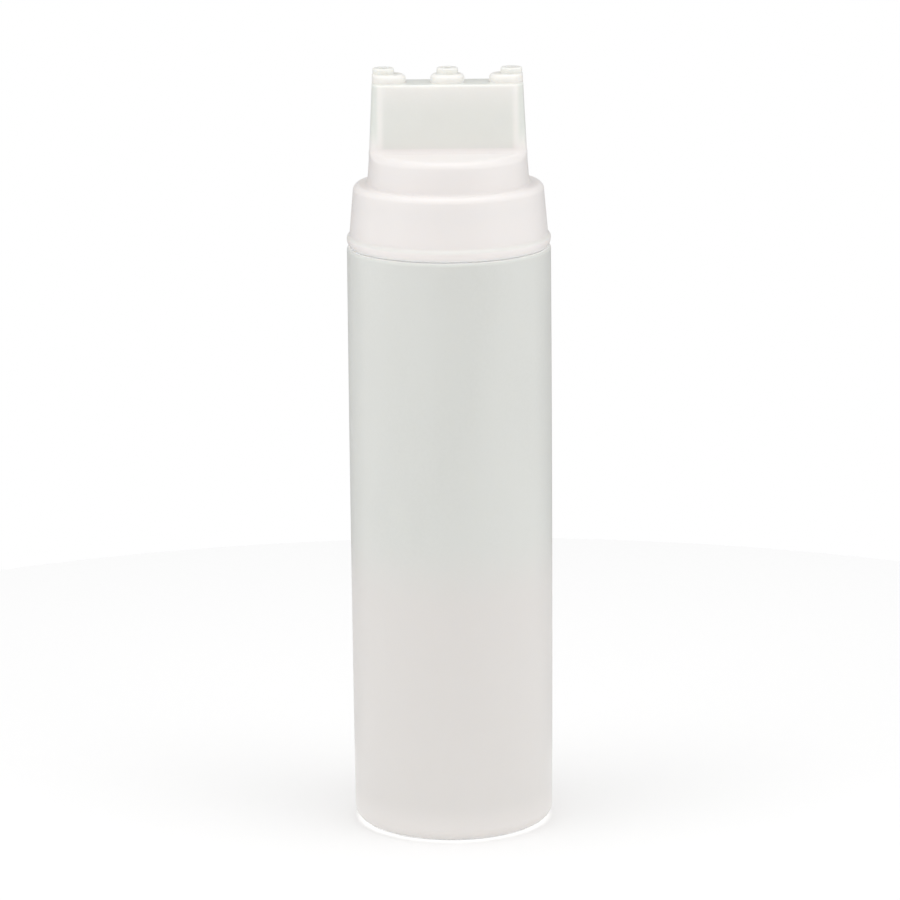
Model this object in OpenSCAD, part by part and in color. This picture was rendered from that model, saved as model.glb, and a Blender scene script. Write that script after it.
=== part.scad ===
// Squeeze bottle for sauce with a screw-on head that has three dispensing tips.
// The origin is the middle of the base, on the table; +Z is up and the three tips lie along X.

/* [Body] */
// Outer diameter of the bottle at the top of its side
body_d = 70; // [66:0.5:90]
// How far the side draws in from its top to the heel, on each side
body_draft = 0.4; // [0:0.1:1.5]
// How far the side swells out at half its height
body_bow = 0.2; // [0:0.1:1]
// Height of the side, from the table to the shoulder
body_h = 203.7; // [120:0.1:260]
// Thickness of the blown side
wall = 1; // [0.7:0.1:1.6]
// Radius of the rounded heel
heel_r = 4.6; // [2:0.1:7]
// Width of the flat ring that the bottle stands on
foot_w = 2.2; // [1:0.2:5]
// Rise of the base in its middle
punt_h = 3; // [1:0.5:6]
// Thickness of the base
base_t = 1.4; // [1:0.1:2]

/* [Shoulder] */
// Radius of the edge between the side and the shoulder
shoulder_edge = 1.1; // [0.6:0.1:2]
// Width of the shoulder, from the side in to the neck
shoulder_w = 5; // [4.8:0.1:8]
// Thickness of the shoulder
shoulder_t = 1.2; // [0.8:0.1:1.6]

/* [Neck] */
// Height of the neck, from the shoulder to the rim
neck_h = 18.5; // [16:0.1:24]
// Wall of the neck under its thread
neck_wall = 1.8; // [1.2:0.1:2.4]
// Rounding of the rim and of the neck's foot
neck_round = 0.6; // [0.3:0.1:0.8]

/* [Thread] */
// Rise of the thread in one turn
pitch = 4.2; // [3.6:0.1:5]
// Turns of thread on the neck and in the collar
thread_turns = 1.25; // [1:0.05:1.5]
// Height of the thread above its wall
thread_depth = 1.25; // [0.8:0.05:1.4]
// Width of the thread at its wall
thread_root_w = 2.2; // [1.6:0.1:2.4]
// Width of the thread at its crest
thread_crest_w = 0.9; // [0.6:0.1:1.2]
// Room between a crest and the wall that faces it
thread_gap = 0.3; // [0.2:0.05:0.5]
// Distance from the rim down to the middle of the thread's upper end
thread_drop = 3.35; // [3:0.05:4]

/* [Collar] */
// Radius of the upper half of the bead round the collar's lower edge
bead_r = 1.6; // [1:0.1:2.6]
// Radius of the lower half of the bead
bead_edge = 2.6; // [0.8:0.1:3.2]
// Radius of the hollow between the bead and the skirt
bead_fillet = 1.5; // [0.5:0.1:2]
// Thickness of the collar's skirt just above its bead
skirt_wall = 2.4; // [1.8:0.1:2.8]
// How far the skirt draws in from its bead to its shoulder, on each side
skirt_draft = 1.25; // [0:0.05:1.4]
// Radius of the collar's rounded shoulder
collar_round = 2.3; // [1:0.1:3]
// Thickness of the plate that closes the collar
plate_t = 2; // [1.6:0.1:3]
// Gap between the collar and the bottle's shoulder
seat_gap = 0.25; // [0.2:0.05:0.6]

/* [Gasket] */
// Thickness of the seal washer
gasket_t = 1.1; // [0.8:0.1:2]
// How far the washer reaches in past the neck's inner wall
gasket_lip = 0.3; // [0:0.1:1]
// Gap above, below and round the washer
gasket_gap = 0.05; // [0.03:0.01:0.1]
// Room round the neck's rim in the washer's pocket
pocket_room = 1; // [0.6:0.1:1]
// How far the pocket reaches down past the rim
pocket_drop = 1.6; // [0.5:0.1:2]

/* [Tower] */
// Width of the collar's top, from its side in to the tower
collar_step = 5.05; // [4.4:0.05:9]
// Height of the round drum at the tower's foot
drum_h = 11.2; // [8:0.1:20]
// How far the drum draws in over its height, on each side
drum_draft = 0.55; // [0:0.05:1]
// Radius of the hollow where the drum rises from the collar
drum_fillet = 1.1; // [0.5:0.1:1.5]
// Radius of the drum's upper edge
drum_edge = 2.8; // [0.8:0.1:4]
// Thickness of the tower's walls
tower_wall = 1.8; // [1.4:0.1:2.2]

/* [Block] */
// Height of the flat block above the drum
block_h = 23.5; // [14:0.1:36]
// How far the block's ends stand inside the drum's side
block_inset = 0.3; // [0.3:0.05:0.8]
// How far each end draws in over the block's height
end_draft = 1.05; // [0:0.05:3]
// Thickness of the block, front to back, at its top
block_t = 14; // [12:0.2:18]
// How far the front and back draw in over the block's height
face_draft = 0.7; // [0:0.1:2]
// Radius of the block's upright corners
corner_r = 4.8; // [3:0.1:5.8]
// Radius of the hollow where the front and back rise from the drum
block_fillet = 1.8; // [0.6:0.1:3]
// Radius of the block's upper edge
block_edge = 0.7; // [0.3:0.1:1.2]

/* [Tips] */
// Diameter of the round boss under each tip
boss_d = 11.5; // [10:0.1:12]
// Height of each boss
boss_h = 2.9; // [1.6:0.1:5]
// Rounding of a boss's upper edge
boss_round = 1.5; // [0.4:0.1:1.5]
// Diameter of each tip
tip_d = 7.3; // [6:0.1:7.4]
// Height of each tip above its boss
tip_h = 2.1; // [1.2:0.1:8]
// Rounding of a tip's upper edge
tip_round = 0.5; // [0.2:0.1:1]
// Diameter of the outlet through each tip
outlet_d = 3.2; // [2:0.1:4]
// Straight length of each outlet, down from the tip's end
outlet_len = 3.4; // [2:0.1:4.4]
// Diameter of each outlet's funnel under the chamber's roof
funnel_d = 5.4; // [4.4:0.1:6]
// How far the end bosses stand inside the block's ends
boss_inset = 0.05; // [0:0.05:0.5]
// How far the end tips stand inside the block's ends
tip_inset = 0.3; // [0.1:0.05:1]

/* [Hidden] */

// Facets of a whole circle, and pieces of each rounded corner
round_facets = 120;
corner_steps = 8;

// Bottle
body_r = body_d / 2;
heel_top_r = body_r - body_draft;
foot_r = heel_top_r - heel_r;
punt_r = foot_r - foot_w;
side_top = body_h - shoulder_edge;
neck_r = body_r - shoulder_w;
neck_in_r = neck_r - neck_wall;
rim_z = body_h + neck_h;

// Thread, with the half pitch that separates the two threads of the pair
thread_z = rim_z - thread_drop - thread_turns * pitch;
thread_root = 0.5;
thread_fade = 35;
thread_step = 6;
collar_in_r = neck_r + thread_depth + thread_gap;

// Collar and washer
skirt_z = body_h + seat_gap;
skirt_r = collar_in_r + skirt_wall;
collar_r = skirt_r - skirt_draft;
pocket_r = neck_r + pocket_room;
pocket_z = rim_z - pocket_drop;
gasket_z = rim_z + gasket_gap;
plate_z = gasket_z + gasket_t + gasket_gap;
collar_z = plate_z + plate_t;

// Tower and block
tower_r = collar_r - collar_step;
drum_r = tower_r - drum_draft;
drum_z = collar_z + drum_h;
block_z = drum_z + block_h;
block_foot_x = drum_r - block_inset;
block_top_x = block_foot_x - end_draft;
block_top_y = block_t / 2;
block_foot_y = block_top_y + face_draft;
chamber_r = drum_r - tower_wall;
chamber_z = drum_z - tower_wall;
roof_z = block_z - tower_wall;

// Tips
boss_z = block_z + boss_h;
tip_z = boss_z + tip_h;
end_boss_x = block_top_x - boss_inset - boss_d / 2;
end_tip_x = block_top_x - tip_inset - tip_d / 2;
tip_places = [[-end_boss_x, -end_tip_x], [0, 0], [end_boss_x, end_tip_x]];
outlet_z = tip_z - outlet_len;

// Overlap that keeps two joined solids from only touching
sink = 0.4;
foot_sink = 0.05;

// Least height of the hollow at the block's foot
foot_rise = 0.6;

// Points along an arc about [cr, cz], in degrees from the outward radius
function arc(cr, cz, r, from, to, steps = corner_steps) = [
    for (i = [0:steps])
    let (a = from + (to - from) * i / steps)
    [cr + r * cos(a), cz + r * sin(a)]
];

// Height of the base's underside at a share of the way out to the foot ring
function punt(share) = punt_h * (1 + cos(180 * share)) / 2;

// Radius of the side at a share of the way up, less the thickness of what lies outside
function side_r(share, inset) =
    heel_top_r + body_draft * share + 4 * body_bow * share * (1 - share) - inset;

// Half width or depth of the block at a height, from its foot and top values
function block_half(foot, top, z) = foot + (top - foot) * (z - drum_z) / block_h;

// Direction in which each point of a ring faces, counter-clockwise with two at each flat's ends
ring_points = 4 * (corner_steps + 1);
function ring_angle(j) =
    90 * (floor(j / (corner_steps + 1)) + (j % (corner_steps + 1)) / corner_steps);

// Points of a rounded rectangle at one height
function ring(half_x, half_y, r, z) = [
    for (j = [0:ring_points - 1])
    let (
        a = ring_angle(j),
        quarter = floor(j / (corner_steps + 1)),
        side_x = quarter == 0 || quarter == 3 ? 1 : -1,
        side_y = quarter < 2 ? 1 : -1
    )
    [side_x * (half_x - r) + r * cos(a), side_y * (half_y - r) + r * sin(a), z]
];

// Height of the drum's top at a distance from the axis
function ledge_at(r) =
    let (over = max(0, r - drum_r + drum_edge))
    drum_z - drum_edge + sqrt(max(0, drum_edge * drum_edge - over * over));

// One ring of the hollow at the block's foot, which fades out where the ends near the drum's side
function foot_ring(turn) =
    let (
        low_z = drum_z + block_fillet * (1 - cos(turn)),
        half_x = block_half(block_foot_x, block_top_x, low_z),
        half_y = block_half(block_foot_y, block_top_y, low_z),
        around = ring(half_x, half_y, corner_r, 0)
    )
    [
        for (j = [0:ring_points - 1])
        let (
            p = [around[j][0], around[j][1]],
            facing = [cos(ring_angle(j)), sin(ring_angle(j))],
            reach = p * facing,
            room = sqrt(max(0, reach * reach - p * p + drum_r * drum_r)) - reach,
            out = block_fillet * max(0, min(1, room / (block_fillet + drum_edge))),
            q = p + out * (1 - sin(turn)) * facing,
            rise = max(out, foot_rise) * (1 - cos(turn))
        )
        [q[0], q[1], ledge_at(norm(p + out * facing)) - foot_sink + rise]
    ];

// Solid through a stack of rings that all have the same number of points
module loft(rings) {
    n = len(rings[0]);
    last = len(rings) - 1;
    sides = [
        for (k = [0:last - 1], j = [0:n - 1])
        let (a = k * n + j, b = k * n + (j + 1) % n, c = b + n, d = a + n)
        each [[a, d, c], [a, c, b]]
    ];
    bottom = [for (j = [0:n - 1]) j];
    top = [for (j = [n - 1:-1:0]) last * n + j];
    polyhedron([for (r = rings) each r], concat(sides, [bottom, top]));
}

// Height of the thread at an angle, fading into the wall at both ends
function thread_height(angle) =
    let (end = min(angle, 360 * thread_turns - angle), share = min(1, end / thread_fade))
    -thread_root / 3 + (thread_depth + thread_root / 3) * sin(90 * share);

// One screw thread on a wall of radius wall_r, outside it for side 1 and inside for side -1
module thread(wall_r, side, z) {
    steps = round(360 * thread_turns / thread_step);
    sections = [
        for (i = [0:steps])
        let (
            a = 360 * thread_turns * i / steps,
            height = thread_height(a),
            share = height / thread_depth,
            root = [wall_r - side * thread_root, thread_root_w / 2],
            crest = [
                wall_r + side * height,
                (thread_root_w + (thread_crest_w - thread_root_w) * share) / 2
            ],
            inner = side > 0 ? root : crest,
            outer = side > 0 ? crest : root,
            mid = z + pitch * a / 360
        )
        [
            for (p = [[inner[0], -inner[1]], [outer[0], -outer[1]], outer, inner])
            [p[0] * cos(a), p[0] * sin(a), mid + p[1]]
        ]
    ];
    faces = [
        for (i = [0:steps - 1], j = [0:3])
        let (a = 4 * i + j, b = 4 * i + (j + 1) % 4, c = b + 4, d = a + 4)
        each [[a, b, c], [a, c, d]]
    ];
    ends = [[3, 2, 1, 0], [for (j = [0:3]) 4 * steps + j]];
    polyhedron([for (s = sections) each s], concat(faces, ends));
}

module revolve(outline) {
    rotate_extrude($fn = round_facets) polygon(outline);
}

module bottle() {
    side_h = side_top - heel_r;
    heel_in_r = max(0.5, heel_r - wall);
    top_in_z = body_h - shoulder_t - shoulder_edge;
    outside = concat(
        [for (i = [0:10]) [punt_r * i / 10, punt(i / 10)]],
        arc(foot_r, heel_r, heel_r, -90, 0),
        [for (i = [1:9]) [side_r(i / 10, 0), heel_r + side_h * i / 10]],
        arc(body_r - shoulder_edge, side_top, shoulder_edge, 0, 90, 5),
        arc(neck_r + neck_round, body_h + neck_round, neck_round, 270, 180, 4),
        arc(neck_r - neck_round, rim_z - neck_round, neck_round, 0, 90, 4)
    );
    inside = concat(
        arc(neck_in_r + neck_round, rim_z - neck_round, neck_round, 90, 180, 4),
        arc(neck_in_r + neck_round, body_h - shoulder_t + neck_round, neck_round, 180, 270, 4),
        arc(body_r - wall - shoulder_edge, top_in_z, shoulder_edge, 90, 0, 5),
        [for (i = [9:-1:1]) [side_r(i / 10, wall), heel_r + side_h * i / 10]],
        arc(heel_top_r - wall - heel_in_r, base_t + heel_in_r, heel_in_r, 0, -90),
        [for (i = [10:-1:0]) [punt_r * i / 10, base_t + punt(i / 10)]]
    );
    color([0.87, 0.86, 0.84]) {
        revolve(concat(outside, inside));
        thread(neck_r, 1, thread_z);
    }
}

module neck_gasket() {
    inner_r = neck_in_r - gasket_lip;
    outer_r = pocket_r - gasket_gap;
    color([0.93, 0.93, 0.91])
    translate([0, 0, gasket_z])
    difference() {
        cylinder(h = gasket_t, r = outer_r, $fn = round_facets);
        translate([0, 0, -1]) cylinder(h = gasket_t + 2, r = inner_r, $fn = round_facets);
    }
}

// Outside of the collar and the drum
module collar_and_drum() {
    bead_x = body_r - bead_r;
    bead_z = skirt_z + max(bead_r, bead_edge);
    blend_x = skirt_r + bead_fillet;
    reach = bead_r + bead_fillet;
    turn = acos((blend_x - bead_x) / reach);
    blend_z = bead_z + reach * sin(turn);
    revolve(concat(
        [[0, skirt_z]],
        arc(body_r - bead_edge, skirt_z + bead_edge, bead_edge, -90, 0),
        arc(bead_x, bead_z, bead_r, 0, turn, 4),
        arc(blend_x, blend_z, bead_fillet, 180 + turn, 180, 4),
        arc(collar_r - collar_round, collar_z - collar_round, collar_round, 0, 90),
        arc(tower_r + drum_fillet, collar_z + drum_fillet, drum_fillet, 270, 180, 6),
        arc(drum_r - drum_edge, drum_z - drum_edge, drum_edge, 0, 90),
        [[0, drum_z]]
    ));
}

// Room inside the collar and the drum
module collar_and_drum_room() {
    mouth = 0.5;
    below = skirt_z - 1;
    revolve([
        [0, below],
        [collar_in_r + mouth + 1, below],
        [collar_in_r, skirt_z + mouth],
        [collar_in_r, pocket_z - (collar_in_r - pocket_r)],
        [pocket_r, pocket_z],
        [pocket_r, plate_z],
        [chamber_r + drum_draft, plate_z],
        [chamber_r, chamber_z - 1],
        [chamber_r - 1, chamber_z],
        [0, chamber_z]
    ]);
}

// Flat block that carries the tips
module block() {
    low = drum_z - drum_edge - sink;
    sunk = ring(block_foot_x - 1, block_foot_y, corner_r, low);
    edge = [
        for (i = [0:4])
        let (a = 22.5 * i, in = block_edge * (1 - cos(a)))
        ring(block_top_x - in, block_top_y - in, corner_r - in, block_z - block_edge * (1 - sin(a)))
    ];
    loft(concat([sunk], [for (turn = [0:18:90]) foot_ring(turn)], edge));
}

// Room inside the block, open to the drum's room below it
module block_room() {
    low = chamber_z - sink;
    r = corner_r - tower_wall;
    loft([
        for (z = [low, roof_z])
        ring(
            block_half(block_foot_x, block_top_x, z) - tower_wall,
            block_half(block_foot_y, block_top_y, z) - tower_wall,
            r, z
        )
    ]);
}

// Round stub from below the block's top, with a rounded upper edge
module stub(d, low, high, rounding) {
    revolve(concat(
        [[0, low], [d / 2, low]],
        arc(d / 2 - rounding, high - rounding, rounding, 0, 90, 6),
        [[0, high]]
    ));
}

module tips() {
    for (p = tip_places) {
        translate([p[0], 0, 0]) stub(boss_d, block_z - sink, boss_z, boss_round);
        translate([p[1], 0, 0]) stub(tip_d, boss_z - boss_round, tip_z, tip_round);
    }
}

module outlets() {
    for (p = tip_places)
    translate([p[1], 0, 0]) {
        translate([0, 0, outlet_z - sink])
        cylinder(h = outlet_len + sink + 1, d = outlet_d, $fn = round_facets);
        translate([0, 0, roof_z - 1])
        cylinder(h = outlet_z - roof_z + 1, d1 = funnel_d, d2 = outlet_d, $fn = round_facets);
    }
}

module dispensing_head() {
    color([0.95, 0.94, 0.92]) {
        difference() {
            union() {
                collar_and_drum();
                block();
                tips();
            }
            collar_and_drum_room();
            block_room();
            outlets();
        }
        thread(collar_in_r, -1, thread_z - pitch / 2);
    }
}

bottle();
neck_gasket();
dispensing_head();
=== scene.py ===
# Squeeze bottle with a screw-on head that carries three dispensing tips, dressed over the CAD frame.
# Lengths in the shape code are millimetres; build() turns them into metres.
import itertools
import math
from collections import namedtuple

import bmesh
import bpy
from mathutils import Matrix, Vector


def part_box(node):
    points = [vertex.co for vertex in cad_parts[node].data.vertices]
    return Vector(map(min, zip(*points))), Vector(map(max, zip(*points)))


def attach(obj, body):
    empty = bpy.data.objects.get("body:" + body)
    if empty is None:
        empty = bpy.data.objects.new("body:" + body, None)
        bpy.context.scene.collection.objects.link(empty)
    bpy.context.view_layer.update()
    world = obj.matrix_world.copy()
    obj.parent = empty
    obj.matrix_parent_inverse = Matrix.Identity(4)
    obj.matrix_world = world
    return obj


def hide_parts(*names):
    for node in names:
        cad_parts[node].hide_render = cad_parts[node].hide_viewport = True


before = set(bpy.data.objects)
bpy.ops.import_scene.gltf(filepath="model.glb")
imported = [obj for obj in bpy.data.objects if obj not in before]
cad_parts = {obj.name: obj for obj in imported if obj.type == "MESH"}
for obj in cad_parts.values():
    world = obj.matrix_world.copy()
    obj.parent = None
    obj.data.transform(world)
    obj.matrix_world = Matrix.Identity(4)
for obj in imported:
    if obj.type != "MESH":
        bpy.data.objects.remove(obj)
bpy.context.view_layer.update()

MM = 0.001


def box_mm(node):
    low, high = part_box(node)
    return [v / MM for v in low], [v / MM for v in high]


bottle_low, bottle_high = box_mm("bottle")
head_low, head_high = box_mm("dispensing_head")
washer_low, washer_high = box_mm("neck_gasket")

# ---- sizes, as in part.scad where a comment doesn't say otherwise

# Bottle
BODY_R = 35.0
BODY_DRAFT = 0.4
BODY_BOW = 0.2
BODY_H = 203.7
WALL = 1.0
HEEL_R = 4.6
FOOT_W = 2.2
PUNT_H = 3.0
BASE_T = 1.4
SHOULDER_EDGE = 1.1
SHOULDER_T = 1.2
NECK_R = 30.0
NECK_IN_R = 28.2
NECK_ROUND = 0.6
RIM_Z = bottle_high[2]

# Thread; the run-out is the plain wall, finely stepped, past each end
PITCH = 4.2
TURNS = 1.25
THREAD_H = 1.25
THREAD_ROOT = 2.2
THREAD_CREST = 0.9
THREAD_FADE = 35.0
THREAD_RUNOUT = 1.5
THREAD_Z = RIM_Z - 3.35 - TURNS * PITCH
COLLAR_IN_R = 31.55

# Collar; it reaches a little lower than in the CAD, so that the gap to the bottle shows as a fine line
SKIRT_Z = head_low[2] - 0.23
BEAD_R = 1.6
BEAD_Z = head_low[2] + 2.6
BEAD_FILLET = 1.5
FLANK_R = 3.3
FLANK_TURN = 50.0
SKIRT_R = 33.95
COLLAR_R = 32.7
COLLAR_ROUND = 2.3
POCKET_R = 31.0
POCKET_Z = RIM_Z - 1.6
PLATE_Z = washer_high[2] + 0.05
COLLAR_Z = PLATE_Z + 2.0

# Tower
TOWER_R = 27.65
DRUM_R = 27.1
DRUM_Z = COLLAR_Z + 11.2
DRUM_FILLET = 1.1
DRUM_EDGE = 2.8
CHAMBER_R = 25.3
CHAMBER_Z = DRUM_Z - 1.8
CHAMBER_DRAFT = 0.55

# Block; half its width and depth at the foot and at the top, the foot a little wider than in the CAD
BLOCK_Z = DRUM_Z + 23.5
FOOT_X, TOP_X = 26.9, 25.75
FOOT_Y, TOP_Y = 7.7, 7.0
CORNER_R = 4.8
BLOCK_FILLET = 1.8
BLOCK_EDGE = 0.7
ROOM_INSET = 1.95
ROOF_Z = BLOCK_Z - 1.8

# Tips
TIP_Z = head_high[2]
BOSS_Z = TIP_Z - 2.1
BOSS_R = 5.75
BOSS_ROUND = 1.5
TIP_R = 3.65
TIP_ROUND = 0.5
OUTLET_R = 1.6
OUTLET_ROUND = 0.2
OUTLET_LEN = 3.4
FUNNEL_R = 1.95
BOSS_X = 19.95
TIP_X = 21.8
TIPS = [(-BOSS_X, -TIP_X), (0.0, 0.0), (BOSS_X, TIP_X)]

# Hollows at the feet of the bosses and the tips, which only the scene has
BOSS_FILLET = 0.3
TIP_FILLET = 0.35

# Steps of the meshes
BOTTLE_COLUMNS = 288
WASHER_COLUMNS = 144
TIP_COLUMNS = 72
SIDE_STEPS = 56
PUNT_STEPS = 16
FRONT_STEPS, CORNER_STEPS, END_STEPS = 72, 16, 8
SHARP_ANGLE = 35.0

# ---- mesh code


class Shell:
    """Vertices in millimetres and faces, gathered ring by ring into one closed surface.

    hollow tells how much painted shade makes a vertex darker and greener, and glow how much painted light
    makes it lighter."""

    def __init__(self):
        self.points = []
        self.faces = []
        self.hollow = {}
        self.glow = {}

    def ring(self, points):
        first = len(self.points)
        self.points += points
        return list(range(first, len(self.points)))

    def strip(self, a, b):
        n = len(a)
        for i in range(n):
            j = (i + 1) % n
            self.faces.append((a[i], a[j], b[j], b[i]))

    def cap(self, ring, point):
        (centre,) = self.ring([point])
        n = len(ring)
        for i in range(n):
            self.faces.append((ring[i], ring[(i + 1) % n], centre))

    def rings(self, rows):
        made = [self.ring(row) for row in rows]
        for a, b in zip(made, made[1:]):
            self.strip(a, b)
        return made

    def plate(self, loops):
        """Flat plate at one height between an outer loop and the loops of its holes."""
        bm = bmesh.new()
        verts = {}
        for loop in loops:
            for i in loop:
                verts[i] = bm.verts.new(self.points[i])
            for i, j in zip(loop, loop[1:] + loop[:1]):
                bm.edges.new((verts[i], verts[j]))
        names = {v: i for i, v in verts.items()}
        bmesh.ops.triangle_fill(
            bm, use_beauty=True, use_dissolve=False, edges=bm.edges[:], normal=(0, 0, 1)
        )
        for f in bm.faces:
            self.faces.append(tuple(names[v] for v in f.verts))
        bm.free()


def build(name, shell):
    mesh = bpy.data.meshes.new(name)
    mesh.from_pydata([[c * MM for c in p] for p in shell.points], [], shell.faces)
    bm = bmesh.new()
    bm.from_mesh(mesh)
    bmesh.ops.recalc_face_normals(bm, faces=bm.faces[:])
    open_edges = sum(1 for e in bm.edges if len(e.link_faces) != 2)
    bm.to_mesh(mesh)
    bm.free()
    print(name, "faces", len(mesh.polygons), "open edges", open_edges)
    for kind, values in (("hollow", shell.hollow), ("glow", shell.glow)):
        layer = mesh.attributes.new(kind, "FLOAT", "POINT")
        layer.data.foreach_set("value", [values.get(i, 0.0) for i in range(len(shell.points))])
    mesh.polygons.foreach_set("use_smooth", [True] * len(mesh.polygons))
    mesh.set_sharp_from_angle(angle=math.radians(SHARP_ANGLE))
    obj = bpy.data.objects.new(name, mesh)
    bpy.context.scene.collection.objects.link(obj)
    return obj


def arc(cr, cz, r, start, end, steps):
    out = []
    for i in range(steps + 1):
        a = math.radians(start + (end - start) * i / steps)
        out.append((cr + r * math.cos(a), cz + r * math.sin(a)))
    return out


def walk(points, step, hold=0.12):
    """The points with long straight runs divided, and one more point close to each end of a run."""
    out = [points[0]]
    for (r0, z0), (r1, z1) in zip(points, points[1:]):
        run = math.hypot(r1 - r0, z1 - z0)
        if run < 1e-6:
            continue
        if run > 4 * hold:
            inner = [hold / run]
            pieces = max(1, round((run - 2 * hold) / step))
            for i in range(1, pieces + 1):
                inner.append((hold + (run - 2 * hold) * i / pieces) / run)
            out += [(r0 + (r1 - r0) * t, z0 + (z1 - z0) * t) for t in inner]
        out.append((r1, z1))
    return out


def even_turns(count):
    return [2 * math.pi * i / count for i in range(count)]


def circle(r, z, turns, x=0.0):
    """Ring of points about an upright line at x, at the given turns in radians."""
    return [(x + r * math.cos(a), r * math.sin(a), z) for a in turns]


def smooth(t):
    t = min(1.0, max(0.0, t))
    return t * t * (3 - 2 * t)


def fade(value, none, full):
    """0 where the value has reached none, 1 where it has reached full, and smooth between them."""
    return smooth((value - none) / (full - none))


def thread_at(angle, z, first_z):
    """Height of the thread at an angle in degrees and a height."""
    best = 0.0
    for turn in range(2):
        a = angle % 360 + 360 * turn
        if a > 360 * TURNS:
            break
        ends = smooth(min(a, 360 * TURNS - a) / THREAD_FADE)
        off = abs(z - first_z - PITCH * a / 360)
        flank = (THREAD_ROOT / 2 - off) / ((THREAD_ROOT - THREAD_CREST) / 2)
        best = max(best, THREAD_H * ends * smooth(flank * 0.5 + 0.25) if flank > -0.5 else 0.0)
    return best


def thread_rows(r, first_z, turns, side):
    """Rings of a threaded wall from below up; the thread stands out (side 1) or in (side -1)."""
    low = first_z - THREAD_RUNOUT
    high = first_z + TURNS * PITCH + THREAD_RUNOUT
    pieces = math.ceil((high - low) / 0.14)
    rows = []
    for i in range(pieces + 1):
        z = low + (high - low) * i / pieces
        row = []
        for a in turns:
            out = r + side * thread_at(math.degrees(a), z, first_z)
            row.append((out * math.cos(a), out * math.sin(a), z))
        rows.append(row)
    return rows


# ---- bottle


def make_bottle():
    heel_top = BODY_R - BODY_DRAFT
    foot = heel_top - HEEL_R
    punt_r = foot - FOOT_W
    side_top = BODY_H - SHOULDER_EDGE
    side_h = side_top - HEEL_R
    heel_in = HEEL_R - WALL
    neck_low = THREAD_Z - THREAD_RUNOUT
    neck_top = THREAD_Z + TURNS * PITCH + THREAD_RUNOUT

    def side(share, inset):
        bow = 4 * BODY_BOW * share * (1 - share)
        return heel_top + BODY_DRAFT * share + bow - inset, HEEL_R + side_h * share

    def punt(i, rise):
        share = i / PUNT_STEPS
        return punt_r * share, rise + PUNT_H * (1 + math.cos(math.pi * share)) / 2

    outside = [punt(i, 0.0) for i in range(1, PUNT_STEPS + 1)]
    outside += [(foot - 0.2, 0.0)]
    outside += arc(foot, HEEL_R, HEEL_R, -90, 0, 14)
    outside += [side(0.001, 0)] + [side(i / SIDE_STEPS, 0) for i in range(1, SIDE_STEPS)] + [side(0.999, 0)]
    outside += arc(BODY_R - SHOULDER_EDGE, side_top, SHOULDER_EDGE, 0, 90, 8)
    outside += walk(
        [(BODY_R - SHOULDER_EDGE, BODY_H)]
        + arc(NECK_R + NECK_ROUND, BODY_H + NECK_ROUND, NECK_ROUND, 270, 180, 5)
        + [(NECK_R, neck_low)],
        2.0,
    )[1:]
    in_shoulder = BODY_H - SHOULDER_T
    inside = walk(
        [(NECK_R, neck_top)]
        + arc(NECK_R - NECK_ROUND, RIM_Z - NECK_ROUND, NECK_ROUND, 0, 90, 6)
        + arc(NECK_IN_R + NECK_ROUND, RIM_Z - NECK_ROUND, NECK_ROUND, 90, 180, 6)
        + arc(NECK_IN_R + NECK_ROUND, in_shoulder + NECK_ROUND, NECK_ROUND, 180, 270, 5)
        + arc(BODY_R - WALL - SHOULDER_EDGE, in_shoulder - SHOULDER_EDGE, SHOULDER_EDGE, 90, 0, 5),
        2.0,
    )[1:]
    inside += [side(i / SIDE_STEPS, WALL) for i in range(SIDE_STEPS - 1, 0, -1)]
    inside += arc(heel_top - WALL - heel_in, BASE_T + heel_in, heel_in, 0, -90, 10)
    inside += [punt(i, BASE_T) for i in range(PUNT_STEPS, 0, -1)]

    turns = even_turns(BOTTLE_COLUMNS)
    rows = [circle(r, z, turns) for r, z in outside]
    rows += thread_rows(NECK_R, THREAD_Z, turns, 1)[1:]
    rows += [circle(r, z, turns) for r, z in inside]
    shell = Shell()
    made = shell.rings(rows)

    # Painted light: lighter base colour on the shoulder's rim and in the heel, where light gathers in the
    # milky plastic
    for i, (x, y, z) in enumerate(shell.points):
        r = math.hypot(x, y)
        shoulder = fade(z, BODY_H - 0.4, BODY_H) * fade(z, BODY_H + 0.3, BODY_H + 0.1) * fade(r, 31, 32)
        heel = fade(z, 1.6, 0.2) * fade(r, 26, 28)
        shell.glow[i] = max(shoulder, heel)
    shell.cap(made[0], (0, 0, PUNT_H))
    shell.cap(made[-1], (0, 0, BASE_T + PUNT_H))
    return build("bottle_blown", shell)


# ---- head

# One column of the tower: its point on the block's foot, the direction d out of the block, its turn
# about the axis, how far the drum's edge and the fillet at the block's foot bend, the flat gap left
# between them, and half the gap's rise. All are in radians and millimetres.
Column = namedtuple("Column", "x y d turn bend gap lift")


def section(half_x, half_y, r):
    """Points and directions round a rounded rectangle, counter-clockwise from the middle of its +X end.

    The columns stand at even turns on the drum below the block's front and back."""
    cx, cy = half_x - r, half_y - r
    quarter = []
    for i in range(END_STEPS // 2):
        quarter.append((half_x, cy * 2 * i / END_STEPS, 0.0))
    for i in range(CORNER_STEPS):
        a = math.pi / 2 * i / CORNER_STEPS
        quarter.append((cx + r * math.cos(a), cy + r * math.sin(a), a))
    first = math.acos(cx / DRUM_R)
    for i in range(FRONT_STEPS // 2):
        phi = first + (math.pi / 2 - first) * 2 * i / FRONT_STEPS
        quarter.append((DRUM_R * math.cos(phi), half_y, math.pi / 2))
    middle = (0.0, half_y, math.pi / 2)
    second = [(-x, y, math.pi - a) for x, y, a in reversed(quarter[1:])]
    half = quarter + [middle] + second
    other = [(-x, -y, a + math.pi) for x, y, a in half]
    return half + other


def block_half(foot, top, z):
    return foot + (top - foot) * (z - DRUM_Z) / (BLOCK_Z - DRUM_Z)


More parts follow.
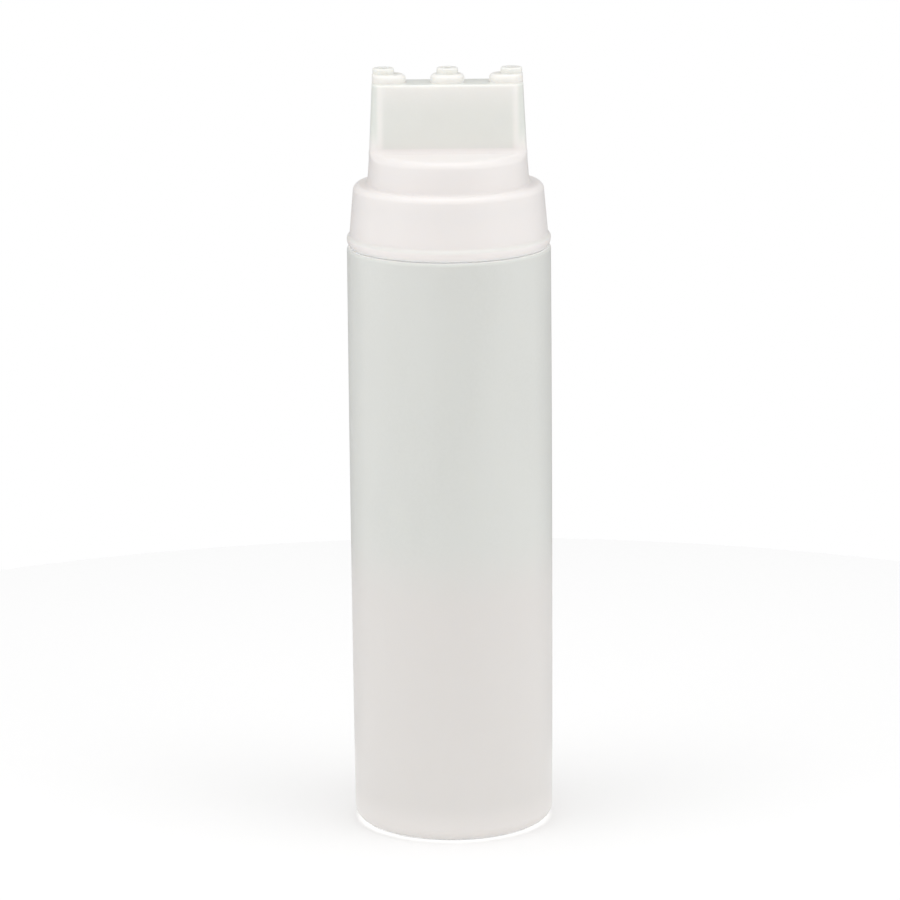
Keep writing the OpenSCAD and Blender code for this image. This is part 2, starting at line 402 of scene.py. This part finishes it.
def block_section(z, inset=0.0):
    half_x, half_y = block_half(FOOT_X, TOP_X, z), block_half(FOOT_Y, TOP_Y, z)
    return section(half_x - inset, half_y - inset, CORNER_R - inset)


def block_point(x, y, z):
    """A point of the block's foot section, moved to where the drafted side is at another height."""
    in_x, in_y = FOOT_X - block_half(FOOT_X, TOP_X, z), FOOT_Y - block_half(FOOT_Y, TOP_Y, z)
    across, along = x / (FOOT_X - CORNER_R), y / (FOOT_Y - CORNER_R)
    return x - in_x * max(-1.0, min(1.0, across)), y - in_y * max(-1.0, min(1.0, along))


def reach_circle(x, y, a, radius):
    """How far it is from a point, along direction a, to a circle about the axis."""
    nx, ny = math.cos(a), math.sin(a)
    along = x * nx + y * ny
    return math.sqrt(max(0.0, along * along - x * x - y * y + radius * radius)) - along


def go(x, y, d, distance, z):
    """The point at a distance along direction d."""
    return x + distance * math.cos(d), y + distance * math.sin(d), z


def tower_column(x, y, d):
    """The edge and the fillet at the block's foot bend less where the block nears the drum's side, to leave
    a gap.
    """

    def gap(bend):
        outer = reach_circle(x, y, d, DRUM_R - DRUM_EDGE * (1 - math.cos(bend)))
        return outer - BLOCK_FILLET * (1 - math.cos(bend))

    low, high = 0.0, math.pi / 2
    least = min(0.06, gap(low) / 2)
    if gap(high) < least:
        for _ in range(40):
            mid = (low + high) / 2
            low, high = (mid, high) if gap(mid) > least else (low, mid)
    left = gap(high)
    room = reach_circle(x, y, d, DRUM_R)
    turn = math.atan2(y + room * math.sin(d), x + room * math.cos(d))
    return Column(x, y, d, turn, high, left, left / math.tan(high) / 2)


def collar_profile():
    """Outside of the collar, from the mouth's edge up to the foot of the drum's side."""
    bead_x = BODY_R - BEAD_R
    blend_x = SKIRT_R + BEAD_FILLET
    lean = math.acos((blend_x - bead_x) / (BEAD_R + BEAD_FILLET))
    blend_z = BEAD_Z + (BEAD_R + BEAD_FILLET) * math.sin(lean)
    lean = math.degrees(lean)
    flank_h = FLANK_R * math.sin(math.radians(FLANK_TURN))
    profile = [(COLLAR_IN_R + 0.5, SKIRT_Z)]
    for r, z in arc(BODY_R - FLANK_R, 0, FLANK_R, -FLANK_TURN, 0, 10):
        profile.append((r, BEAD_Z + z * (BEAD_Z - SKIRT_Z) / flank_h))
    profile += arc(bead_x, BEAD_Z, BEAD_R, 0, lean, 8)[1:]
    profile += arc(blend_x, blend_z, BEAD_FILLET, 180 + lean, 180, 6)
    profile += arc(COLLAR_R - COLLAR_ROUND, COLLAR_Z - COLLAR_ROUND, COLLAR_ROUND, 4, 90, 14)
    profile += arc(TOWER_R + DRUM_FILLET, COLLAR_Z + DRUM_FILLET, DRUM_FILLET, 270, 180, 8)
    return walk(profile, 1.5)


def drum_rows(columns):
    """Rings of the drum's side, its rounded edge, the ledge, and the fillet at the block's foot."""
    rows = []
    side_low = COLLAR_Z + DRUM_FILLET
    for i in range(1, 9):
        row = []
        for c in columns:
            top = DRUM_Z - c.lift - DRUM_EDGE * math.sin(c.bend)
            z = side_low + (top - side_low) * (i / 8) ** 0.9
            r = TOWER_R + (DRUM_R - TOWER_R) * (z - side_low) / (DRUM_Z - DRUM_EDGE - side_low)
            r = max(r, DRUM_R)
            row.append((r * math.cos(c.turn), r * math.sin(c.turn), z))
        rows.append(row)
    for i in range(1, 13):
        row = []
        for c in columns:
            a = c.bend * i / 12
            out = reach_circle(c.x, c.y, c.d, DRUM_R - DRUM_EDGE * (1 - math.cos(a)))
            z = DRUM_Z - c.lift - DRUM_EDGE * (math.sin(c.bend) - math.sin(a))
            row.append(go(c.x, c.y, c.d, out, z))
        rows.append(row)
    for share in (0.03, 0.2, 0.4, 0.6, 0.8, 0.97):
        row = []
        for c in columns:
            out = BLOCK_FILLET * (1 - math.cos(c.bend)) + c.gap * (1 - share)
            row.append(go(c.x, c.y, c.d, out, DRUM_Z + c.lift * (2 * share - 1)))
        rows.append(row)
    for i in range(0, 11):
        row = []
        for c in columns:
            a = c.bend * (1 - i / 10)
            z = DRUM_Z + c.lift + BLOCK_FILLET * (math.sin(c.bend) - math.sin(a))
            row.append(go(*block_point(c.x, c.y, z), c.d, BLOCK_FILLET * (1 - math.cos(a)), z))
        rows.append(row)
    return rows


def block_rows(columns):
    """Rings of the block's sides and of its upper edge, which is smaller where a boss comes close."""
    top = [block_point(c.x, c.y, BLOCK_Z) for c in columns]
    edge = [min(BLOCK_EDGE, 0.55 * (math.hypot(abs(x) - BOSS_X, y) - BOSS_R)) for x, y in top]
    rows = []
    for share in (0.01, 0.05, 0.12, 0.2, 0.3, 0.4, 0.5, 0.6, 0.7, 0.8, 0.9, 0.97, 0.995, 1):
        row = []
        for c, e in zip(columns, edge):
            low = DRUM_Z + c.lift + BLOCK_FILLET * math.sin(c.bend)
            z = low + (BLOCK_Z - e - low) * share
            row.append((*block_point(c.x, c.y, z), z))
        rows.append(row)
    for i in range(1, 8):
        a = math.pi / 2 * i / 7
        row = []
        for c, (x, y), e in zip(columns, top, edge):
            row.append(go(x, y, c.d, -e * (1 - math.cos(a)), BLOCK_Z - e + e * math.sin(a)))
        rows.append(row)
    return rows


def tip_rows(boss_x, tip_x, brim):
    """Rings of a boss, the tip on it, its outlet and the funnel below, down to the chamber's roof."""
    turns = even_turns(TIP_COLUMNS)
    rows = []

    # Hollow at the boss's foot, smaller where the block's brim is close
    foot = []
    for a in turns:
        x, y = boss_x + BOSS_R * math.cos(a), BOSS_R * math.sin(a)
        foot.append(min(BOSS_FILLET, 0.4 * min(math.hypot(x - q[0], y - q[1]) for q in brim)))
    for i in range(6):
        b = math.pi / 2 * i / 5
        row = []
        for a, h in zip(turns, foot):
            r = BOSS_R + h * (1 - math.sin(b))
            row.append((boss_x + r * math.cos(a), r * math.sin(a), BLOCK_Z + h * (1 - math.cos(b))))
        rows.append(row)

    # From the boss's side at p to the tip's at q, which stand close together at the block's ends
    spans = []
    for p, q in zip(circle(BOSS_R, 0, turns, boss_x), circle(TIP_R, 0, turns, tip_x)):
        gap = math.hypot(q[0] - p[0], q[1] - p[1])
        spans.append((p, q, gap, min(BOSS_ROUND, 0.62 * gap), min(TIP_FILLET, 0.3 * gap)))

    def between(p, q, t, z):
        return p[0] + (q[0] - p[0]) * t, p[1] + (q[1] - p[1]) * t, z

    low = BLOCK_Z + BOSS_FILLET
    for share in (0.05, 0.5, 0.95):
        rows.append([(p[0], p[1], low + (BOSS_Z - e - low) * share) for p, q, gap, e, f in spans])
    for i in range(0, 11):
        b = math.pi / 2 * i / 10
        row = []
        for p, q, gap, e, f in spans:
            row.append(between(p, q, e * (1 - math.cos(b)) / gap, BOSS_Z - e + e * math.sin(b)))
        rows.append(row)
    for i in range(0, 6):
        b = math.pi / 2 * i / 5
        row = []
        for p, q, gap, e, f in spans:
            row.append(between(p, q, 1 - f * (1 - math.sin(b)) / gap, BOSS_Z + f * (1 - math.cos(b))))
        rows.append(row)

    tip = [(TIP_R, BOSS_Z + TIP_FILLET + 0.01)]
    tip += arc(TIP_R - TIP_ROUND, TIP_Z - TIP_ROUND, TIP_ROUND, 0, 90, 7)
    tip += arc(OUTLET_R + OUTLET_ROUND, TIP_Z - OUTLET_ROUND, OUTLET_ROUND, 90, 180, 5)
    tip += [(OUTLET_R, TIP_Z - OUTLET_LEN), (FUNNEL_R, ROOF_Z)]
    return rows + [circle(r, z, turns, tip_x) for r, z in walk(tip, 0.8, hold=0.08)[1:]]


def head_inside_rows(turns):
    """Rings of the room in the block, the chamber, the washer's pocket and the threaded collar."""
    rows = []
    for share in (0, 0.02, 0.2, 0.4, 0.6, 0.8, 0.98, 1):
        z = ROOF_Z + (CHAMBER_Z - ROOF_Z) * share
        rows.append([(x, y, z) for x, y, d in block_section(z, inset=ROOM_INSET)])
    profile = [
        (CHAMBER_R, CHAMBER_Z),
        (CHAMBER_R + CHAMBER_DRAFT, PLATE_Z),
        (POCKET_R, PLATE_Z),
        (POCKET_R, POCKET_Z),
        (COLLAR_IN_R, POCKET_Z - COLLAR_IN_R + POCKET_R),
    ]
    rows += [circle(r, z, turns) for r, z in walk(profile, 2.0)]
    low = THREAD_Z - PITCH / 2
    rows += reversed(thread_rows(COLLAR_IN_R, low, turns, -1))
    mouth = [(COLLAR_IN_R, low - THREAD_RUNOUT - 0.1), (COLLAR_IN_R, SKIRT_Z + 0.5)]
    return rows + [circle(r, z, turns) for r, z in walk(mouth, 2.0)]


def shade_collar(shell, rings):
    """Painted shade on the bead's upper side, which flattens its highlight, and painted light for the light
    that gathers where the collar meets the bottle.
    """
    for i in itertools.chain(*rings):
        z = shell.points[i][2]
        rim = fade(z, BEAD_Z - 0.1, BEAD_Z + 0.7) * fade(z, BEAD_Z + 2.3, BEAD_Z + 0.9)
        shell.hollow[i] = 0.35 * rim
        shell.glow[i] = fade(z, SKIRT_Z + 0.9, SKIRT_Z + 0.3)


def shade_block(shell, rings):
    """Painted shade on the block: on its front and back panels, whose walls let light through to the room
    inside, on its rounded corners, seen edge-on, and on its upper edge and top.
    """
    for i in itertools.chain(*rings):
        x, y, z = shell.points[i]
        x = abs(x)
        up = fade(z, DRUM_Z + 1.3, DRUM_Z + 2.0) * fade(z, BLOCK_Z + 1.5, BLOCK_Z - 11.5)
        window = fade(x, 22.9, 21.5) * up if abs(y) > 6.4 else 0.0
        corner = fade(x, 23.2, 24.8) * fade(z, DRUM_Z + 1, DRUM_Z + 9)
        over = fade(z, BLOCK_Z - 0.35, BLOCK_Z - 0.05)
        shell.hollow[i] = max(0.35 * window, 0.65 * corner, 0.6 * over)


def make_head():
    shell = Shell()
    columns = [tower_column(*at) for at in block_section(DRUM_Z)]
    turns = [c.turn for c in columns]

    collar = [circle(r, z, turns) for r, z in collar_profile()]
    drum = drum_rows(columns)
    outside = shell.rings(collar + drum + block_rows(columns))
    shade_collar(shell, outside[: len(collar)])
    shade_block(shell, outside[len(collar) + len(drum) - 1 :])

    brim = [shell.points[i] for i in outside[-1]]
    top_holes, roof_holes = [], []
    for boss_x, tip_x in TIPS:
        made = shell.rings(tip_rows(boss_x, tip_x, brim))
        for k, ring in enumerate(made):
            # Painted shade: darker in the fillet at each boss's foot, and a little darker from the top of
            # the boss's rounded edge over the tip
            level = max(0.5 * fade(k, 3, 0), 0.26 * fade(k, 17, 21))
            for i in ring:
                shell.hollow[i] = level
        top_holes.append(made[0])
        roof_holes.append(made[-1])
    shell.plate([outside[-1]] + top_holes)

    inside = shell.rings(head_inside_rows(turns))
    shell.strip(inside[-1], outside[0])
    shell.plate([inside[0]] + roof_holes)
    return build("dispensing_head_moulded", shell)


# ---- seal washer


def make_washer():
    r0, r1 = NECK_IN_R - 0.3, washer_high[0]
    z0, z1 = washer_low[2], washer_high[2]
    e = 0.16
    outline = arc(r1 - e, z0 + e, e, -90, 0, 4) + arc(r1 - e, z1 - e, e, 0, 90, 4)
    outline += arc(r0 + e, z1 - e, e, 90, 180, 4) + arc(r0 + e, z0 + e, e, 180, 270, 4)
    profile = walk(outline + outline[:1], 1.0, hold=0.05)[:-1]
    turns = even_turns(WASHER_COLUMNS)
    shell = Shell()
    made = shell.rings([circle(r, z, turns) for r, z in profile])
    shell.strip(made[-1], made[0])
    return build("neck_washer_soft", shell)


# ---- materials


class Nodes:
    """Short names for the nodes of a material or a world."""

    def __init__(self, owner, empty=False):
        owner.use_nodes = True
        self.owner = owner
        self.tree = owner.node_tree
        if empty:
            self.tree.nodes.clear()
        self.shader = self.tree.nodes.get("Principled BSDF")

    def put(self, socket, value):
        """Give an input a fixed value or the output of another node."""
        if isinstance(value, bpy.types.NodeSocket):
            self.tree.links.new(value, socket)
        else:
            socket.default_value = value

    def node(self, kind, inputs=None, **settings):
        n = self.tree.nodes.new(kind)
        for key, value in settings.items():
            setattr(n, key, value)
        for key, value in (inputs or {}).items():
            self.put(n.inputs[key], value)
        return n

    def math(self, operation, a, b, c=0.0):
        return self.node("ShaderNodeMath", {0: a, 1: b, 2: c}, operation=operation).outputs[0]

    def place(self):
        return self.node("ShaderNodeTexCoord").outputs["Object"]

    def noise(self, scale, detail, stretch=(1, 1, 1)):
        where = self.node("ShaderNodeMapping", {"Scale": stretch, "Vector": self.place()})
        settings = {"Scale": scale, "Detail": detail, "Vector": where.outputs["Vector"]}
        return self.node("ShaderNodeTexNoise", settings).outputs["Fac"]

    def ramp(self, value, stops):
        n = self.node("ShaderNodeValToRGB", {"Fac": value})
        n.color_ramp.interpolation = "EASE"
        while len(n.color_ramp.elements) < len(stops):
            n.color_ramp.elements.new(0.5)
        for element, (at, colour) in zip(n.color_ramp.elements, stops):
            element.position = at
            element.color = colour
        return n.outputs["Color"]

    def mottle(self, cloud, fine, share, colours):
        """Colour that wanders with a broad noise, which has the given share, and a fine one."""
        value = self.math("ADD", self.math("MULTIPLY", cloud, share), self.math("MULTIPLY", fine, 1 - share))
        return self.ramp(value, list(zip((0.3, 0.5, 0.7), colours)))

    def spread(self, value, low, high):
        """The middle half of a noise's range, from 0.25 to 0.75, spread from low to high."""
        return self.math("MULTIPLY_ADD", value, (high - low) * 2, (3 * low - high) / 2)

    def mix(self, share, a, b):
        n = self.node("ShaderNodeMix", {"Factor": share}, data_type="RGBA")
        for name, value in (("A", a), ("B", b)):
            self.put([i for i in n.inputs if i.name == name and i.type == "RGBA"][0], value)
        return [o for o in n.outputs if o.type == "RGBA"][0]

    def height(self, none, full):
        """0 above one height of the object and 0.85 below another, in metres."""
        split = self.node("ShaderNodeSeparateXYZ", {0: self.place()})
        limits = {"From Min": full, "From Max": none, "To Min": 0.85, "To Max": 0.0}
        limits["Value"] = split.outputs["Z"]
        return self.node("ShaderNodeMapRange", limits, interpolation_type="SMOOTHSTEP").outputs["Result"]

    def attribute(self, name):
        return self.node("ShaderNodeAttribute", attribute_name=name).outputs["Fac"]

    def bump(self, height, distance, strength, over=None):
        n = self.node("ShaderNodeBump", {"Strength": strength, "Distance": distance, "Height": height})
        if over is not None:
            self.put(n.inputs["Normal"], over)
        return n.outputs["Normal"]

    def plastic(self, ior, depth, weight):
        """Milky plastic that light enters to about the given depth in metres."""
        self.shader.inputs["IOR"].default_value = ior
        self.shader.inputs["Subsurface Weight"].default_value = weight
        self.shader.inputs["Subsurface Radius"].default_value = (1.0, 0.96, 0.9)
        self.shader.inputs["Subsurface Scale"].default_value = depth

    def surface(self, colour, roughness, normal):
        self.put(self.shader.inputs["Base Color"], colour)
        self.put(self.shader.inputs["Roughness"], roughness)
        self.put(self.shader.inputs["Normal"], normal)

    def seen_directly(self):
        """1 for camera, glossy and transmission rays, 0 for the rest."""
        path = self.node("ShaderNodeLightPath")
        total = path.outputs["Is Camera Ray"]
        for name in ("Is Glossy Ray", "Is Transmission Ray"):
            total = self.math("MAXIMUM", total, path.outputs[name])
        return total


def linear(r, g, b):
    """Linear colour from one read off in 0 to 255, all above 10."""
    return (*(((c / 255 + 0.055) / 1.055) ** 2.4 for c in (r, g, b)), 1)


def blown_plastic():
    """Milky blow-moulded polyethylene: soft flow streaks, faint lengthwise die lines, satin skin."""
    m = Nodes(bpy.data.materials.new("blown_plastic"))
    colours = linear(218, 219, 215), linear(221, 222, 218), linear(224, 225, 221)
    body = m.mottle(m.noise(26, 3, stretch=(1, 1, 0.35)), m.noise(900, 2), 0.8, colours)
    # Painted light: lighter and warmer towards the bottom, more at the heel, where light comes up from the
    # white floor; glow adds painted light on the shoulder's rim and in the heel
    low = m.mix(m.height(0.11, 0.08), body, linear(225, 221, 218))
    heel = m.mix(m.height(0.014, 0.004), low, linear(233, 229, 226))
    colour = m.mix(m.attribute("glow"), heel, linear(250, 249, 246))
    die_lines = m.bump(m.noise(260, 2, stretch=(1, 1, 0.02)), 0.00002, 0.5)
    normal = m.bump(m.noise(420, 2), 0.00001, 0.5, over=die_lines)
    m.surface(colour, m.spread(m.noise(180, 3), 0.31, 0.39), normal)
    m.plastic(1.5, 0.0012, 0.8)
    return m.owner


def moulded_plastic():
    """Thicker injection-moulded polyethylene: whiter, with a fine even skin."""
    m = Nodes(bpy.data.materials.new("moulded_plastic"))
    colours = linear(238, 236, 232), linear(240, 238, 234), linear(242, 240, 236)
    body = m.mottle(m.noise(60, 3), m.noise(1100, 2), 0.75, colours)
    # Warmer and a little darker below the ledge round the block's foot, set by height alone
    low = m.mix(m.height(0.2425, 0.2365), body, linear(239, 234, 232))
    # Painted shade where hollow is set, darker and greener, then painted light where glow is set
    shaded = m.mix(m.attribute("hollow"), low, linear(217, 222, 216))
    colour = m.mix(m.attribute("glow"), shaded, linear(253, 252, 249))
    m.surface(colour, m.spread(m.noise(240, 3), 0.3, 0.36), m.bump(m.noise(700, 2), 0.000008, 0.5))
    m.plastic(1.5, 0.0018, 0.9)
    return m.owner


def soft_silicone():
    """Soft translucent silicone with a matt, slightly dusty skin."""
    m = Nodes(bpy.data.materials.new("soft_silicone"))
    colour = m.ramp(m.noise(300, 3), [(0.3, linear(222, 221, 216)), (0.7, linear(232, 231, 227))])
    m.surface(colour, m.spread(m.noise(900, 2), 0.5, 0.62), m.bump(m.noise(1500, 2), 0.000015, 0.6))
    m.plastic(1.41, 0.0012, 0.9)
    return m.owner


def dress(piece, node, body, material):
    piece.data.materials.append(material)
    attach(piece, body)
    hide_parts(node)


dress(make_bottle(), "bottle", "body", blown_plastic())
dress(make_washer(), "neck_gasket", "gasket", soft_silicone())
dress(make_head(), "dispensing_head", "head", moulded_plastic())

# ---- camera at the photo's angle: degrees, metres, and the focal length in pixels of the photo

ELEVATION, ROLL = 13.0, 0.53
AIM = Vector((-0.00028, 0, 0.1315))
DISTANCE = 1.65
FOCAL, PHOTO_WIDTH = 4764.0, 900
SENSOR = 36.0

scene = bpy.context.scene
camera_data = bpy.data.cameras.new("camera")
camera = bpy.data.objects.new("camera", camera_data)
scene.collection.objects.link(camera)
camera_data.sensor_width = SENSOR
camera_data.lens = FOCAL / PHOTO_WIDTH * SENSOR
tilt = math.radians(ELEVATION)
back = Vector((0, -math.cos(tilt), math.sin(tilt)))
camera.location = AIM + back * DISTANCE
aimed = (-back).to_track_quat("-Z", "Y").to_matrix() @ Matrix.Rotation(math.radians(-ROLL), 3, "Z")
camera.rotation_mode = "QUATERNION"
camera.rotation_quaternion = aimed.to_quaternion()
scene.camera = camera
scene.view_settings.view_transform = "Standard"

# ---- studio

WHITE = (1, 1, 1, 1)
FLOOR_R = 0.4


def make_world(ambient):
    """White where it is seen, and a plain even light on everything else."""
    scene.world = bpy.data.worlds.new("studio")
    m = Nodes(scene.world, empty=True)
    white = m.node("ShaderNodeBackground", {"Color": WHITE, "Strength": 1.0})
    dim = m.node("ShaderNodeBackground", {"Color": WHITE, "Strength": ambient})
    mix = m.node("ShaderNodeMixShader", {0: m.seen_directly(), 1: dim.outputs[0], 2: white.outputs[0]})
    m.node("ShaderNodeOutputWorld", {"Surface": mix.outputs[0]})


def stage_piece(name, mesh, material, reflected_only=False):
    obj = bpy.data.objects.new(name, mesh)
    scene.collection.objects.link(obj)
    mesh.materials.append(material)
    if reflected_only:
        obj.visible_camera = False
        obj.visible_diffuse = False
        obj.visible_shadow = False


def make_floor(radius, lift):
    """Matt white floor, a little lighter where it is seen, and much lighter close under the heel.

    There it stands in for the light that comes down through the milky bottle."""
    bm = bmesh.new()
    bmesh.ops.create_circle(bm, cap_ends=True, segments=96, radius=radius)
    mesh = bpy.data.meshes.new("studio_floor")
    bm.to_mesh(mesh)
    bm.free()
    m = Nodes(bpy.data.materials.new("studio_floor"), empty=True)
    away = m.node("ShaderNodeVectorMath", {0: m.place()}, operation="LENGTH").outputs["Value"]
    limits = {"From Min": 0.032, "From Max": 0.0346, "To Min": 0.6, "To Max": lift, "Value": away}
    near = m.node("ShaderNodeMapRange", limits).outputs["Result"]
    matt = m.node("ShaderNodeBsdfDiffuse", {"Color": (0.96, 0.96, 0.96, 1)})
    glow = m.node("ShaderNodeEmission", {"Strength": m.math("MULTIPLY", m.seen_directly(), near)})
    both = m.node("ShaderNodeAddShader", {0: matt.outputs[0], 1: glow.outputs[0]})
    m.node("ShaderNodeOutputMaterial", {"Surface": both.outputs[0]})
    stage_piece("studio_floor", mesh, m.owner)


def card(name, corners, strength):
    """Dim card of the studio that shows only in reflections."""
    mesh = bpy.data.meshes.new(name)
    mesh.from_pydata(corners, [], [tuple(range(len(corners)))])
    m = Nodes(bpy.data.materials.new(name), empty=True)
    glow = m.node("ShaderNodeEmission", {"Color": WHITE, "Strength": strength})
    m.node("ShaderNodeOutputMaterial", {"Surface": glow.outputs[0]})
    stage_piece(name, mesh, m.owner, reflected_only=True)


def sector(start, stop, near, far, z):
    """Corners of a ring sector; 0 degrees is the front, and degrees grow towards +X."""
    out = []
    for r, (first, last) in ((near, (start, stop)), (far, (stop, start))):
        for i in range(13):
            t = math.radians(first + (last - first) * i / 12)
            out.append((r * math.sin(t), -r * math.cos(t), z))
    return out


def lamp(name, place, target, width, height, power):
    data = bpy.data.lights.new(name, "AREA")
    data.shape = "RECTANGLE"
    data.size = width
    data.size_y = height
    data.energy = power
    obj = bpy.data.objects.new(name, data)
    scene.collection.objects.link(obj)
    obj.location = place
    obj.rotation_euler = (Vector(target) - Vector(place)).to_track_quat("-Z", "Y").to_euler()
    obj.visible_camera = False


make_world(0.84)
make_floor(FLOOR_R, 0.02)
card("studio_dark_front", sector(-14, 32, FLOOR_R, 4.0, -0.004), 0.1)
card("studio_dark_far", sector(115, 245, 0.38, 4.0, 0.0004), 0.2)
card("studio_dim_near", sector(115, 245, 0.1, 0.38, 0.0004), 0.65)
card("studio_dark_back", [(-2.6, 2.2, 0.0), (2.6, 2.2, 0.0), (2.6, 1.6, 2.6), (-2.6, 1.6, 2.6)], 0.25)
lamp("softbox_left", (-0.9, -0.5, 0.5), (0, 0, 0.13), 0.9, 1.0, 1.4)
lamp("softbox_right", (0.9, -0.5, 0.5), (0, 0, 0.13), 0.9, 1.0, 1.4)
lamp("softbox_top", (0, -0.1, 1.0), (0, 0, 0.15), 0.9, 0.4, 1.6)
